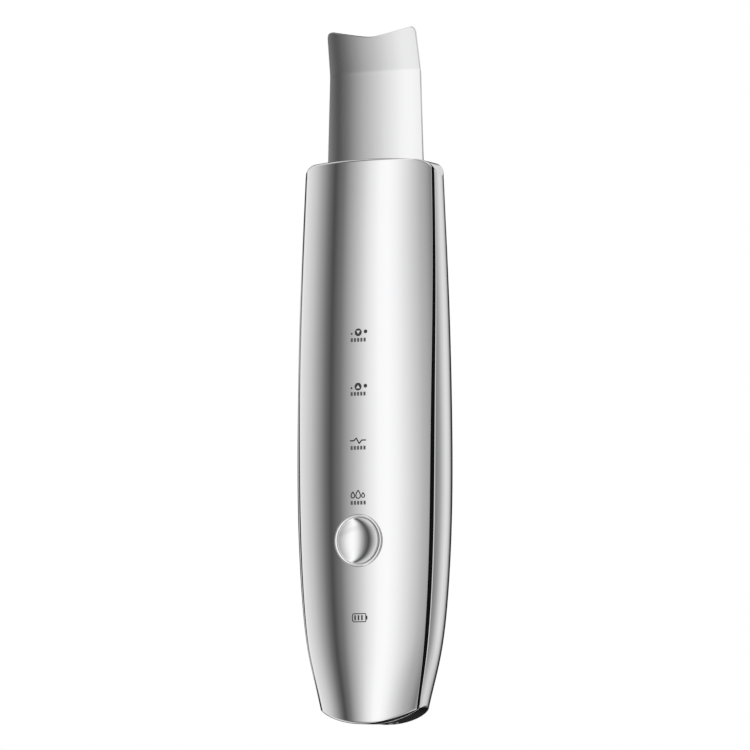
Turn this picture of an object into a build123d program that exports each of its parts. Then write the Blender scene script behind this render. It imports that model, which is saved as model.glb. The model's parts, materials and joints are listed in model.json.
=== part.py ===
from build123d import *
import os

# Ultrasonic skin scrubber. Millimetres, +Z up along the handle with the blade at the top.
# The button side faces -Y. The origin is under the middle of the handle's lower end.

os.makedirs("parts", exist_ok=True)

# ---------------------------------------------------------------- driving dimensions

HANDLE_LENGTH = 134.0
FULLNESS = 0.688             # pull of the cross-section's quarter curves; 0.552 is an ellipse
# (height, half width, depth to the front, depth to the back) of the handle,
# over-long at both ends so the ends can be cut
STATIONS = (
    (-3.0, 11.9, 6.6, 7.3),
    (6.0, 14.0, 7.2, 8.1),
    (15.0, 16.35, 7.65, 8.75),
    (30.0, 18.45, 8.15, 9.45),
    (50.0, 19.5, 8.5, 9.95),
    (75.0, 19.55, 8.6, 9.75),
    (100.0, 19.0, 8.4, 8.85),
    (120.0, 18.2, 7.85, 7.85),
    (137.0, 17.45, 7.1, 7.1),
)
FOOT_ARCH_RADIUS = 25.0
FOOT_SIDE = ((12.8, 0.0), (15.6, 12.0))   # line that the rounded corners of the foot run into
FOOT_CORNER = 3.5
TOP_HALF_WIDTH = 17.9
TOP_CORNER = 5.0
TOP_ARCH_RADIUS = 217.0
WALL = 1.4
FIT = 0.15                   # clearance of the inner parts to the walls
BACK_FLAT = 9.4              # depth of the flat that the scrubber lies on

# parting line between cover and shell, seen from the side: (height, depth)
PARTING = (
    (-3.0, -1.8),
    (6.0, -2.8),
    (15.0, -3.65),
    (30.0, -4.25),
    (60.0, -4.55),
    (80.0, -4.3),
    (101.0, -3.7),
    (124.7, -2.85),
    (137.0, -2.5),
)
REVEAL = 0.6                 # width of the groove between cover and shell
REVEAL_DEPTH = 0.4

BLADE_THICK = 0.9
BLADE_CROWN = 70.0           # radius of the blade's slight crown across its width
BLADE_BASE = 133.0           # height at which the full width begins
BLADE_BEND = 155.5
BLADE_BEND_ANGLE = 12.0
BLADE_TIP = 166.0
BLADE_HALF_BASE = 12.65
BLADE_HALF_BEND = 12.0
BLADE_HALF_TIP = 11.65
BLADE_CORNER = 1.5
NOTCH_DEPTH = 2.0
SHANK_HALF = 6.0
SHANK_FOOT = 115.2

BUTTON_HEIGHT = 43.2
BUTTON_FACE = -8.4           # front of the cover at the middle of the button
CAP_RADIUS = 5.5
RING_INNER = 5.65
RING_OUTER = 6.2
TRAVEL = 0.5

BOARD_FRONT = -3.3
BOARD_BACK = -2.3
CHASSIS_BACK = -1.1
BOARD_HALF = 10.0
BOARD_FOOT = 20.0
BOARD_TOP = 96.4
MODE_HEIGHTS = (54.4, 67.4, 80.3, 93.2)
GAUGE_HEIGHT = 25.2

PORT_DEPTH = 2.0             # distance of the charging port's middle behind the blade's plane
NECK = 4.6                   # radius of the transducer where the isolator rings sit
ISOLATOR = 5.6
STRAP = 6.4
RING_STATIONS = (102.0, 113.0)


# ---------------------------------------------------------------- helpers

def block(x0, x1, y0, y1, z0, z1):
    """A box between two corners."""
    centre = ((x0 + x1) / 2, (y0 + y1) / 2, (z0 + z1) / 2)
    return Pos(*centre) * Box(x1 - x0, y1 - y0, z1 - z0)


def rod_y(x, z, radius, y0, y1):
    """A cylinder along Y."""
    return Pos(x, (y0 + y1) / 2, z) * (Rot(90, 0, 0) * Cylinder(radius, y1 - y0))


def rod_z(radius, z0, z1, x=0.0, y=0.0):
    """A cylinder along Z."""
    return Pos(x, y, (z0 + z1) / 2) * Cylinder(radius, z1 - z0)


def turned_y(profile, x=0.0, z=0.0):
    """A turned part about an axis along Y, from (radius, depth) points."""
    face = make_face(Polyline(*profile, close=True))
    return Pos(x, 0, z) * revolve(face, Axis.Y)


def section(height, half_width, front, back):
    """One closed wire of the handle's cross-section: four quarter curves, fuller than an ellipse."""
    corners = [(half_width, 0), (0, back), (-half_width, 0), (0, -front)]
    edges = []
    for start, end in zip(corners, corners[1:] + corners[:1]):
        pull_out = (start[0] + FULLNESS * end[0], start[1] + FULLNESS * end[1])
        pull_in = (end[0] + FULLNESS * start[0], end[1] + FULLNESS * start[1])
        points = [(x, y, height) for x, y in (start, pull_out, pull_in, end)]
        edges.append(Bezier(*points))
    return Wire(edges)


def front_outline(inset):
    """The handle's outline from the front: arched foot, wide middle, arched top."""
    (low_x, low_z), (high_x, high_z) = FOOT_SIDE
    sides = [(-low_x, low_z), (low_x, low_z), (high_x, high_z), (-high_x, high_z)]
    foot = make_face(Polyline(*sides, close=True))
    foot &= Pos(0, FOOT_ARCH_RADIUS) * Circle(FOOT_ARCH_RADIUS)
    foot = fillet(foot.vertices().sort_by(Axis.Y)[:2], FOOT_CORNER)
    if inset > 0:
        foot = offset(foot, -inset)
    middle = Pos(0, (7.5 + 129.4) / 2) * Rectangle(60, 129.4 - 7.5)
    top = Pos(0, 120) * Rectangle(2 * (TOP_HALF_WIDTH - inset), 2 * (HANDLE_LENGTH - 120 - inset))
    top &= Pos(0, HANDLE_LENGTH - TOP_ARCH_RADIUS) * Circle(TOP_ARCH_RADIUS - inset)
    top = fillet(top.vertices().sort_by(Axis.Y)[-2:], TOP_CORNER - inset)
    return foot + middle + top


def envelope(inset):
    """The handle's solid form, drawn in by an inset on every side."""
    wires = [section(z, *(reach - inset for reach in reaches)) for z, *reaches in STATIONS]
    blank = Solid.make_loft(wires)
    prism = extrude(Plane.XZ * front_outline(inset), 30, both=True)
    return blank & prism


def in_front(offset):
    """Everything in front of the parting surface moved back by an offset."""
    curve = Plane.YZ * Spline(*[(y + offset, z) for z, y in PARTING])
    low, high = curve @ 0, curve @ 1
    rim = Polyline(high, (0, -40, high.Z), (0, -40, low.Z), low)
    return extrude(make_face([curve, rim]), 40, both=True)


def slot(width, height, z0, z1, y=PORT_DEPTH):
    """A bar with rounded ends along Z, as wide as a charging plug."""
    face = Pos(0, y, z0) * SlotOverall(width, height)
    return extrude(face, z1 - z0)


def strip(points, thickness, x0, x1):
    """A thin bent strip, from (depth, height) points, as wide as x0 to x1."""
    flat = trace(Polyline(*points), line_width=thickness)
    return Pos(x0, 0, 0) * extrude(Plane.YZ * flat, x1 - x0)


def wire(points, radius, bend):
    """A round lead along straight runs with bends."""
    path = FilletPolyline(*points, radius=bend)
    return sweep(Plane(path @ 0, z_dir=path % 0) * Circle(radius), path=path)


OUTER = envelope(0)
INNER = envelope(WALL)
INSIDE = envelope(WALL + FIT)
MIDWALL = envelope(WALL / 2)


# ---------------------------------------------------------------- blade

def blade_form(thickness, half_base=BLADE_HALF_BASE):
    """The crowned, bent sheet, untrimmed at its tip, about the blade's mid-surface."""
    outer = BLADE_CROWN + thickness / 2
    inner = BLADE_CROWN - thickness / 2
    ring = Circle(outer) - Circle(inner)
    arc = Pos(0, BLADE_CROWN) * ring & Pos(0, 5 - thickness) * Rectangle(2 * half_base, 10)
    lower = extrude(Pos(0, 0, BLADE_BASE) * arc, 30)
    upper = extrude(Pos(0, 0, BLADE_BEND - 10) * arc, 30)
    hinge = Pos(0, 0, BLADE_BEND)
    upper = hinge * Rot(BLADE_BEND_ANGLE, 0, 0) * (hinge.inverse() * upper)
    mitre = hinge * Rot(BLADE_BEND_ANGLE / 2, 0, 0)
    below = mitre * (Pos(0, 0, -50) * Box(60, 60, 100))
    above = mitre * (Pos(0, 0, 50) * Box(60, 60, 100))
    return (lower & below) + (upper & above)


def blade_outline():
    """The blade's outline from the front, with its notched tip."""
    tip = BLADE_TIP
    edge = Polyline(
        (-BLADE_HALF_BASE, BLADE_BASE),
        (BLADE_HALF_BASE, BLADE_BASE),
        (BLADE_HALF_BEND, BLADE_BEND),
        (BLADE_HALF_TIP, tip),
        (0, tip - NOTCH_DEPTH),
        (-BLADE_HALF_TIP, tip),
        (-BLADE_HALF_BEND, BLADE_BEND),
        close=True,
    )
    face = make_face(edge)
    corners = [v for v in face.vertices() if v.Y > tip - 0.1]
    face = fillet(corners, BLADE_CORNER)
    notch = [v for v in face.vertices() if abs(v.X) < 0.1]
    return fillet(notch, 12.0)


def blade():
    form = blade_form(BLADE_THICK)
    form &= extrude(Plane.XZ * blade_outline(), 30, both=True)
    half = BLADE_THICK / 2
    shank = block(-SHANK_HALF, SHANK_HALF, -half, half, SHANK_FOOT, BLADE_BASE + 0.5)
    shank = fillet(shank.edges().filter_by(Axis.Y).sort_by(Axis.Z)[:2], 1.5)
    shank -= screw_pair(0.85, -5, 5)
    return form + shank


def screw_pair(radius, y0, y1):
    """Two rods where the blade's screws go."""
    return rod_y(-3.4, 120, radius, y0, y1) + rod_y(3.4, 120, radius, y0, y1)


def blade_seal():
    plug = block(-13.3, 13.3, -0.95, 2.45, 131.2, 133.85)
    plug = fillet(plug.edges().filter_by(Axis.Z), 0.45)
    return plug & OUTER - BLADE


def blade_clamp():
    plate = block(-SHANK_HALF, SHANK_HALF, -1.65, -BLADE_THICK / 2, 115.6, 124.4)
    plate = fillet(plate.edges().filter_by(Axis.Y), 1.0)
    return plate - screw_pair(0.85, -5, 5)


def blade_screws():
    pair = []
    for x in (-3.4, 3.4):
        head = rod_y(x, 120, 1.5, -2.65, -1.65)
        shank = rod_y(x, 120, 0.8, -1.65, 3.6)
        pair.append(head + shank - rod_y(x, 120, 0.55, -2.65, -2.15))
    return Compound(pair)


# ---------------------------------------------------------------- transducer

def transducer_horn():
    body = rod_z(5.0, 109.0, 111.4) + rod_z(NECK, 111.4, 114.6) + rod_z(5.0, 114.6, 115.2)
    head = block(-7, 7, BLADE_THICK / 2, 4.6, 115.2, 124.6)
    head = fillet(head.edges().filter_by(Axis.Z), 0.8)
    bore = rod_z(1.55, 109.0, 113.6)
    return body + head - bore - screw_pair(0.85, 0, 3.7)


def piezo_rings():
    low = rod_z(5.0, 104.2, 106.4) - rod_z(2.2, 104.2, 106.4)
    high = rod_z(5.0, 106.6, 108.8) - rod_z(2.2, 106.6, 108.8)
    return Compound([low, high])


def electrodes():
    discs = []
    for z, side in ((104.0, -1), (106.4, 1), (108.8, -1)):
        disc = rod_z(5.0, z, z + 0.2)
        tab = block(min(0, side * 6.6), max(0, side * 6.6), -1.0, 1.0, z, z + 0.2)
        discs.append(disc + tab - rod_z(2.2, z, z + 0.2))
    return Compound(discs)


def insulating_sleeve():
    return rod_z(2.15, 104.0, 109.0) - rod_z(1.6, 104.0, 109.0)


def transducer_back_mass():
    body = rod_z(5.0, 99.6, 100.4) + rod_z(NECK, 100.4, 103.6) + rod_z(5.0, 103.6, 104.0)
    return body - rod_z(1.6, 99.6, 104.0)


def transducer_bolt():
    shank = rod_z(1.5, 99.6, 113.4)
    head = rod_z(2.75, 97.4, 99.6)
    socket = Pos(0, 0, 97.4) * extrude(RegularPolygon(1.25, 6), 1.3)
    return shank + head - socket


def isolator_rings():
    rings = []
    for z in RING_STATIONS:
        ring = rod_z(ISOLATOR, z - 1.4, z + 1.4) - rod_z(NECK, z - 1.4, z + 1.4)
        rings.append(ring)
    return Compound(rings)


def transducer_straps():
    straps = []
    for z in RING_STATIONS:
        strap = rod_z(STRAP, z - 1.2, z + 1.2) + block(-10.2, 10.2, -1.3, 0, z - 1.2, z + 1.2)
        strap -= rod_z(ISOLATOR, z - 1.2, z + 1.2)
        strap -= block(-12, 12, 0, 12, z - 2, z + 2)
        for x in (-8.4, 8.4):
            strap -= rod_y(x, z, 0.75, -2, 0)
        straps.append(strap)
    return Compound(straps)


def strap_screws():
    screws = []
    for z in RING_STATIONS:
        for x in (-8.4, 8.4):
            head = rod_y(x, z, 1.3, -2.2, -1.3)
            screws.append(head + rod_y(x, z, 0.7, -1.3, 3.5))
    return Compound(screws)


# ---------------------------------------------------------------- housing

def button_hole():
    return rod_y(0, BUTTON_HEIGHT, RING_OUTER + 0.05, -12, BUTTON_FACE + 3)


CLIP_HEIGHTS = (52.0, 76.0)
BOSSES = ((-12.6, 26.5), (12.6, 26.5), (-12.6, 88.0), (12.6, 88.0))
PORT_POSTS = ((-6.6, 14.6), (6.6, 14.6))


def front_cover():
    shell = (OUTER - INNER) & in_front(-REVEAL / 2)
    for z in CLIP_HEIGHTS:
        for side in (-1, 1):
            arm = block(13.4, 14.7, -7.5, -0.5, z - 3, z + 3) & MIDWALL
            hook = block(12.8, 13.4, -1.0, -0.5, z - 3, z + 3)
            clip = arm + hook
            shell += clip if side > 0 else mirror(clip, Plane.YZ)
    return shell - button_hole()


def rear_shell():
    shell = (OUTER - INNER) - in_front(REVEAL / 2)
    for x, z in BOSSES:
        boss = rod_y(x, z, 2.0, CHASSIS_BACK, 10) & MIDWALL
        shell += boss - rod_y(x, z, 0.8, -3, 4.2)
    for x, z in PORT_POSTS:
        post = rod_y(x, z, 1.8, 0.4, 10) & MIDWALL
        shell += post - rod_y(x, z, 0.75, 0, 4.2)
    for z in (42.0, 72.0):
        shell += block(-8, 8, 6.9, 10, z - 0.6, z + 0.6) & MIDWALL
    for z in RING_STATIONS:
        cradle = block(-10.2, 10.2, 0, 10, z - 1.2, z + 1.2) & MIDWALL
        cradle -= rod_z(ISOLATOR, z - 1.2, z + 1.2)
        for x in (-8.4, 8.4):
            cradle -= rod_y(x, z, 0.75, -1, 3.8)
        shell += cradle
    shell -= block(-13.3, 13.3, -0.95, 2.45, 130, 136)
    shell -= slot(10.7, 5.0, -2, 2.4)
    return shell - block(-30, 30, BACK_FLAT, 30, -10, 150)


def seam_gasket():
    band = envelope(REVEAL_DEPTH) - INNER
    return band & in_front(REVEAL / 2) - in_front(-REVEAL / 2)


def chassis():
    plate = block(-20, 20, BOARD_BACK, CHASSIS_BACK, 12, 97) & INSIDE
    plate -= block(-6.4, 6.4, -5, 0, 84.6, 98)      # window for the transformer
    plate -= block(-8.2, 8.2, -5, 0, 10, 30.5)      # room for the coil, the ribbon and two screws
    for z in CLIP_HEIGHTS:
        plate -= block(12.5, 18.5, -5, 0, z - 3.3, z + 3.3)
        plate -= block(-18.5, -12.5, -5, 0, z - 3.3, z + 3.3)
    for x, z in BOSSES:
        plate -= rod_y(x, z, 0.95, -5, 0)
    plate -= block(8.0, 10.4, -5, 0, 84.6, 85.4)    # slit for the contact spring
    for x, z in BOARD_HOLES:
        plate -= rod_y(x, z, 0.65, -5, 0)
    for z in (32.4, 81.2):                          # lips that hold the battery's ends
        plate += block(-9, -7.2, CHASSIS_BACK, 1.5, z - 0.5, z + 0.5)
        plate += block(7.2, 9, CHASSIS_BACK, 1.5, z - 0.5, z + 0.5)
    return plate


def chassis_screws():
    screws = []
    for x, z in BOSSES:
        head = rod_y(x, z, 1.7, BOARD_BACK - 1.1, BOARD_BACK)
        cross = block(x - 0.9, x + 0.9, BOARD_BACK - 1.1, BOARD_BACK - 0.6, z - 0.2, z + 0.2)
        cross += block(x - 0.2, x + 0.2, BOARD_BACK - 1.1, BOARD_BACK - 0.6, z - 0.9, z + 0.9)
        screws.append(head + rod_y(x, z, 0.75, BOARD_BACK, 4.0) - cross)
    return Compound(screws)


# ---------------------------------------------------------------- button

def button_ring():
    face = BUTTON_FACE
    return turned_y(
        [(RING_INNER, face - 0.35), (RING_INNER + 0.15, face - 0.45), (RING_OUTER - 0.1, face - 0.35),
         (RING_OUTER, face - 0.2), (RING_OUTER, face + 1.85), (7.2, face + 1.85), (7.2, face + 2.3),
         (RING_INNER, face + 2.3)],
        z=BUTTON_HEIGHT,
    )


def button_cap():
    face = BUTTON_FACE
    rim = face - 0.1
    dish = RadiusArc((0, rim + 0.68), (5.2, rim), -20.2)
    flange, inside, foot = face + 2.35, face + 1.6, face + 3.0
    rest = Polyline(
        dish @ 1, (CAP_RADIUS - 0.1, rim), (CAP_RADIUS, rim + 0.15), (CAP_RADIUS, flange),
        (6.4, flange), (6.4, foot - 0.1), (4.8, foot - 0.1), (4.8, inside), (1.3, inside),
        (1.3, foot), (0, foot), dish @ 0,
    )
    return Pos(0, 0, BUTTON_HEIGHT) * revolve(make_face([dish, rest]), Axis.Y)


def tact_switch():
    z = BUTTON_HEIGHT
    body = block(-2.6, 2.6, BOARD_FRONT - 1.35, BOARD_FRONT, z - 2.6, z + 2.6)
    body = fillet(body.edges().filter_by(Axis.Y), 0.4)
    for side in (-1, 1):
        x = side * 1.9
        leg = block(x - 0.4, x + 0.4, BOARD_FRONT - 0.3, BOARD_FRONT, z - 3.4, z + 3.4)
        body += leg
    return body - rod_y(0, z, 1.1, BOARD_FRONT - 2, BOARD_FRONT - 0.1)


def switch_plunger():
    pin = rod_y(0, BUTTON_HEIGHT, 1.0, BUTTON_FACE + 3.05, BOARD_FRONT - 0.65)
    return chamfer(pin.faces().sort_by(Axis.Y)[0].edges(), 0.15)


# ---------------------------------------------------------------- electronics

BOARD_HOLES = ((-8.3, 36.0), (8.3, 36.0), (-8.3, 91.5), (8.3, 91.5))


def main_board():
    board = block(-BOARD_HALF, BOARD_HALF, BOARD_FRONT, BOARD_BACK, BOARD_FOOT, BOARD_TOP)
    board = fillet(board.edges().filter_by(Axis.Y), 1.2)
    for x, z in BOARD_HOLES:
        board -= rod_y(x, z, 0.8, BOARD_FRONT - 1, BOARD_BACK + 1)
    return board


def board_screws():
    screws = []
    for x, z in BOARD_HOLES:
        head = rod_y(x, z, 1.25, BOARD_FRONT - 0.7, BOARD_FRONT)
        screws.append(head + rod_y(x, z, 0.6, BOARD_FRONT, CHASSIS_BACK))
    for x, z in PORT_POSTS:
        screws.append(rod_y(x, z, 1.25, -1.35, -0.65) + rod_y(x, z, 0.7, -0.65, 4.0))
    return Compound(screws)


def board_chips():
    sizes = ((0.0, 31.2, 5.0, 5.0, 0.9), (-7.0, 64.0, 4.0, 5.0, 1.1), (7.0, 64.0, 4.0, 5.0, 1.1),
             (-7.0, 79.0, 4.4, 3.6, 1.3), (7.0, 79.0, 4.4, 3.6, 1.3))
    chips = []
    for x, z, width, tall, thick in sizes:
        chip = block(x - width / 2, x + width / 2, BOARD_FRONT - thick, BOARD_FRONT,
                     z - tall / 2, z + tall / 2)
        chips.append(chamfer(chip.faces().sort_by(Axis.Y)[0].edges(), 0.15))
    return Compound(chips)


def mode_leds():
    front = BOARD_FRONT - 0.6
    return Compound([block(-0.8, 0.8, front, BOARD_FRONT, z - 0.4, z + 0.4) for z in MODE_HEIGHTS])


def gauge_leds():
    z = GAUGE_HEIGHT
    front = BOARD_FRONT - 0.6
    return Compound([block(x - 0.5, x + 0.5, front, BOARD_FRONT, z - 0.3, z + 0.3)
                     for x in (-1.2, 0.0, 1.2)])


def mode_light_guide():
    back = BOARD_FRONT - 0.9
    bar = block(-3, 3, -9, back, 51.2, 96.0) & envelope(WALL + 0.05)
    feet = block(-3, 3, back, BOARD_FRONT, 51.2, 52.4) + block(-3, 3, back, BOARD_FRONT, 94.8, 96.0)
    return bar + feet


def gauge_light_guide():
    back = BOARD_FRONT - 0.9
    bar = block(-3.4, 3.4, -9, back, 23.0, 27.4) & envelope(WALL + 0.05)
    feet = block(-3.4, -2.4, back, BOARD_FRONT, 23.0, 27.4)
    return bar + feet + mirror(feet, Plane.YZ)


def boost_transformer():
    back = BOARD_BACK
    core = block(-5.5, 5.5, back + 1.8, back + 5.6, 86.0, 95.6)
    winding = block(-4.0, 4.0, back + 0.8, back + 6.8, 87.4, 94.2)
    feet = block(-4.0, 4.0, back, back + 0.8, 87.4, 94.2)
    return fillet(winding.edges().filter_by(Axis.Z), 1.2) + core + feet


def filter_coil():
    back = BOARD_BACK
    drum = rod_y(0, 26.5, 3.2, back, back + 0.6) + rod_y(0, 26.5, 2.6, back + 0.6, back + 2.2)
    return drum + rod_y(0, 26.5, 3.2, back + 2.2, back + 2.8)


def battery_cell():
    cell = block(-11, 11, CHASSIS_BACK + 0.1, 5.6, 33.0, 80.6)
    return fillet(cell.edges().filter_by(Axis.Z), 2.2)


def battery_pad():
    return block(-8.5, 8.5, 5.6, 6.9, 38.0, 76.0)


def battery_board():
    return block(-6.5, 6.5, 1.7, 2.7, 80.6, 84.2)


def battery_leads():
    leads = []
    for x, z in ((-5.4, 84.7), (5.4, 84.7)):
        leads.append(wire([(x * 1.3, 2.2, z), (x * 2.1, 2.2, z), (x * 2.1, -0.5, z)], 0.45, 1.6))
    return Compound(leads)


def transducer_leads():
    leads = [rod_z(0.25, 104.2, 108.8, -6.2, 0.7)]   # joins the two outer electrodes
    for side, z in ((-1, 104.6), (1, 107.0)):
        leads.append(wire([(side * 5.4, 0, z), (side * 11.4, 0, z), (side * 11.4, 0, 98.8),
                           (side * 8.6, -3.9, 98.8), (side * 8.6, -3.9, 93.6)], 0.4, 1.5))
    return Compound(leads)


# ---------------------------------------------------------------- charging port

def port_bezel():
    return slot(10.6, 4.9, 0.65, 2.3) - slot(9.1, 3.4, 0, 3)


def port_seal():
    return slot(11.6, 5.9, 2.4, 3.3) - slot(9.0, 3.3, 2, 4)


def charging_socket():
    return slot(8.94, 3.26, 0.9, 8.2) - slot(8.34, 2.66, 0, 7.6)


def socket_tongue():
    y = PORT_DEPTH
    tongue = block(-3.35, 3.35, y - 0.35, y + 0.35, 1.6, 7.6)
    return tongue + (slot(8.3, 2.6, 6.2, 7.6))


def charge_board():
    board = block(-9, 9, -0.65, PORT_DEPTH - 1.63, 3.5, 19.0) & INSIDE
    for x, z in PORT_POSTS:
        board -= rod_y(x, z, 0.8, -2, 2)
    return board


def charge_ribbon():
    back = BOARD_BACK
    return strip([(-0.75, 16.6), (-0.75, 20.2), (back + 0.6, 20.9), (back + 0.6, 22.6),
                  (back + 0.05, 22.6)], 0.15, -2.5, 2.5)


def contact_spring():
    return strip([(BOARD_BACK, 85.0), (0.2, 85.0), (3.0, 86.6), (6.0, 84.4), (6.8, 86.4)],
                 0.2, 8.2, 10.2)


# ---------------------------------------------------------------- writing the pieces

BLADE = blade()
pieces = {
    "front_cover": front_cover(),
    "rear_shell": rear_shell(),
    "seam_gasket": seam_gasket(),
    "chassis": chassis(),
    "chassis_screws": chassis_screws(),
    "blade": BLADE,
    "blade_seal": blade_seal(),
    "blade_clamp": blade_clamp(),
    "blade_screws": blade_screws(),
    "transducer_horn": transducer_horn(),
    "piezo_rings": piezo_rings(),
    "electrodes": electrodes(),
    "insulating_sleeve": insulating_sleeve(),
    "transducer_back_mass": transducer_back_mass(),
    "transducer_bolt": transducer_bolt(),
    "isolator_rings": isolator_rings(),
    "transducer_straps": transducer_straps(),
    "strap_screws": strap_screws(),
    "button_ring": button_ring(),
    "button_cap": button_cap(),
    "tact_switch": tact_switch(),
    "switch_plunger": switch_plunger(),
    "main_board": main_board(),
    "board_screws": board_screws(),
    "board_chips": board_chips(),
    "mode_leds": mode_leds(),
    "gauge_leds": gauge_leds(),
    "mode_light_guide": mode_light_guide(),
    "gauge_light_guide": gauge_light_guide(),
    "boost_transformer": boost_transformer(),
    "filter_coil": filter_coil(),
    "battery_cell": battery_cell(),
    "battery_pad": battery_pad(),
    "battery_board": battery_board(),
    "battery_leads": battery_leads(),
    "transducer_leads": transducer_leads(),
    "port_bezel": port_bezel(),
    "port_seal": port_seal(),
    "charging_socket": charging_socket(),
    "socket_tongue": socket_tongue(),
    "charge_board": charge_board(),
    "charge_ribbon": charge_ribbon(),
    "contact_spring": contact_spring(),
}
for name, piece in pieces.items():
    export_step(piece, f"parts/{name}.step")
    print(f"{name}: {piece.volume:.1f} mm3")
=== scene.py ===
import json
import math

import bmesh
import bpy
import numpy as np
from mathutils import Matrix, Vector


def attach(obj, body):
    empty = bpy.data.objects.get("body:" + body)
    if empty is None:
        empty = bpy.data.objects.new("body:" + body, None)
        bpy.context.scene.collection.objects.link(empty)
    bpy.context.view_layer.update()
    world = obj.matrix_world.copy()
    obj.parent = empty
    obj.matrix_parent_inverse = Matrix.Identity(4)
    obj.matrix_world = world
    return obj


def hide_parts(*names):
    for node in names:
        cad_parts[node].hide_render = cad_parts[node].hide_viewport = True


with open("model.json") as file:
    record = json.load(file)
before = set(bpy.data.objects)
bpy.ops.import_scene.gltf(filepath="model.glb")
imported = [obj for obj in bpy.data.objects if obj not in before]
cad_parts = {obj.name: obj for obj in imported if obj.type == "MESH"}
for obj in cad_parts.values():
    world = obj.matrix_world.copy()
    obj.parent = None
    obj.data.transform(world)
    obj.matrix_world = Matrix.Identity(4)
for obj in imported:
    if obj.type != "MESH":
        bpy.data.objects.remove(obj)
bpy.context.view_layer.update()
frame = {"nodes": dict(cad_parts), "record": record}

MM = 0.001

# ---------------------------------------------------------------- driving dimensions, in millimetres

# (height, half width, depth to the front, depth to the back) of the handle's cross-section
STATIONS = np.array((
    (-3.0, 11.9, 6.6, 7.3),
    (6.0, 14.0, 7.2, 8.1),
    (15.0, 16.35, 7.65, 8.75),
    (30.0, 18.45, 8.15, 9.45),
    (50.0, 19.5, 8.5, 9.95),
    (75.0, 19.55, 8.6, 9.75),
    (100.0, 19.0, 8.4, 8.85),
    (120.0, 18.2, 7.85, 7.85),
    (137.0, 17.45, 7.1, 7.1),
))
FULLNESS = 0.688             # pull of the cross-section's quarter curves; 0.552 is an ellipse
# parting line between cover and shell, seen from the side: (height, depth)
PARTING = np.array((
    (-3.0, -1.8),
    (6.0, -2.8),
    (15.0, -3.65),
    (30.0, -4.25),
    (60.0, -4.55),
    (80.0, -4.3),
    (101.0, -3.7),
    (124.7, -2.85),
    (137.0, -2.5),
))
REVEAL = 0.6                 # groove between cover and shell
WALL = 1.4
# each end seen from the front: height of the arch's crown, its radius, the corner's radius,
# and two points of the straight side that the corner runs into
FOOT = (0.0, 25.0, 3.5, (12.8, 0.0), (15.6, 12.0))
TOP = (134.0, 217.0, 5.0, (17.9, 134.0), (17.9, 125.0))
BACK_FLAT = 9.4              # depth of the small flat on the back
SEAM_ROUND = {-1: 0.2, 1: 0.05}   # edge radius along the groove: cover, shell
END_ROUND = 0.7              # edge radius round the two end faces

BUTTON_Z = 43.2
BUTTON_FACE = -8.4           # front of the cover at the middle of the button
HOLE = 6.25

BLADE_BASE = 131.4
BLADE_BEND = 155.5
BLADE_TIP = 166.0
BLADE_ANGLE = 12.0
BLADE_CROWN = (150.0, 5e-5)  # the slope across the width is x / first + second * x cubed
BLADE_THICK = 0.9
BLADE_HALF = np.array(((131.4, 12.7), (155.5, 12.0), (166.0, 11.65)))


# ---------------------------------------------------------------- mesh helpers

def mesh_piece(name, verts, faces, normals=None, smooth=None, second=None, weld=1e-7):
    """A mesh object in metres from millimetre points, with its exact normals on the smooth faces.

    second marks the faces that take the piece's second material."""
    mesh = bpy.data.meshes.new(name)
    mesh.from_pydata([tuple(v) for v in np.asarray(verts) * MM], [], faces)
    work = bmesh.new()
    work.from_mesh(mesh)
    layer = work.verts.layers.float_vector.new("exact_normal")
    work.verts.ensure_lookup_table()
    work.faces.ensure_lookup_table()
    if normals is not None:
        for vert, n in zip(work.verts, normals):
            vert[layer] = n
    for i, face in enumerate(work.faces):
        face.smooth = True if smooth is None else bool(smooth[i])
        face.material_index = 1 if second is not None and second[i] else 0
    bmesh.ops.remove_doubles(work, verts=work.verts, dist=weld)
    bmesh.ops.dissolve_degenerate(work, edges=work.edges, dist=weld)
    work.to_mesh(mesh)
    if normals is not None:
        exact = [Vector(v[layer]) for v in work.verts]
        loops = []
        for poly in mesh.polygons:
            for v in poly.vertices:
                keep = poly.use_smooth and exact[v].length > 0.5
                loops.append(exact[v].normalized() if keep else poly.normal.copy())
        mesh.normals_split_custom_set(loops)
    work.free()
    piece = bpy.data.objects.new(name, mesh)
    bpy.context.scene.collection.objects.link(piece)
    return piece


def grid_faces(rows, cols, start=0, flip=False):
    """Quads of a rectangular grid of vertices."""
    faces = []
    for r in range(rows - 1):
        for c in range(cols - 1):
            i = start + r * cols + c
            quad = (i, i + 1, i + cols + 1, i + cols)
            faces.append(quad[::-1] if flip else quad)
    return faces


def unit(v):
    return v / np.maximum(np.linalg.norm(v, axis=-1, keepdims=True), 1e-12)


class Through:
    """A natural cubic spline through points, with its slope."""

    def __init__(self, xs, ys):
        self.x, self.y = np.asarray(xs, float), np.asarray(ys, float)
        n = len(self.x)
        h = np.diff(self.x)
        a, rhs = np.eye(n), np.zeros(n)
        for i in range(1, n - 1):
            a[i, i - 1:i + 2] = h[i - 1], 2 * (h[i - 1] + h[i]), h[i]
            rhs[i] = 6 * ((self.y[i + 1] - self.y[i]) / h[i] - (self.y[i] - self.y[i - 1]) / h[i - 1])
        self.m = np.linalg.solve(a, rhs)

    def _span(self, x):
        i = np.clip(np.searchsorted(self.x, x) - 1, 0, len(self.x) - 2)
        h = self.x[i + 1] - self.x[i]
        return i, h, (self.x[i + 1] - x) / h, (x - self.x[i]) / h

    def __call__(self, x):
        i, h, p, q = self._span(x)
        curve = (p ** 3 - p) * self.m[i] + (q ** 3 - q) * self.m[i + 1]
        return p * self.y[i] + q * self.y[i + 1] + curve * h * h / 6

    def slope(self, x):
        i, h, p, q = self._span(x)
        bend = -(3 * p * p - 1) * self.m[i] + (3 * q * q - 1) * self.m[i + 1]
        return (self.y[i + 1] - self.y[i]) / h + bend * h / 6


# ---------------------------------------------------------------- form of the handle

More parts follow.
